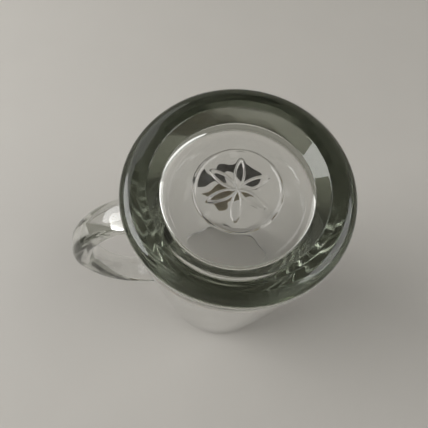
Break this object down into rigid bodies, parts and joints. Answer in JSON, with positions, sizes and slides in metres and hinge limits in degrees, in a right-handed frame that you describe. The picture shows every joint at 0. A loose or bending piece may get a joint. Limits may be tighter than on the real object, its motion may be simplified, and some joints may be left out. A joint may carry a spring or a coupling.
{
  "type": "glass mug",
  "caption": "Clear glass mug with a tapering wall, a heavy heel, a recessed underside and a stuck-on loop handle, standing on its rim.",
  "frame": {"origin": "centre of the mouth on the mug's axis, in the plane of the rim, on which the mug stands as in the picture", "axes": "+Z along the mug's axis from the mouth to the foot, which is uppermost; -X towards the handle"},
  "size_m": [0.104, 0.079, 0.1535],
  "materials": {
    "body_glass": "pressed and fire-polished",
    "handle_glass": "hot-formed and fire-polished"
  },
  "bodies": {
    "root": {"mug_body": "body_glass", "handle": "handle_glass"}
  },
  "joints": []
}
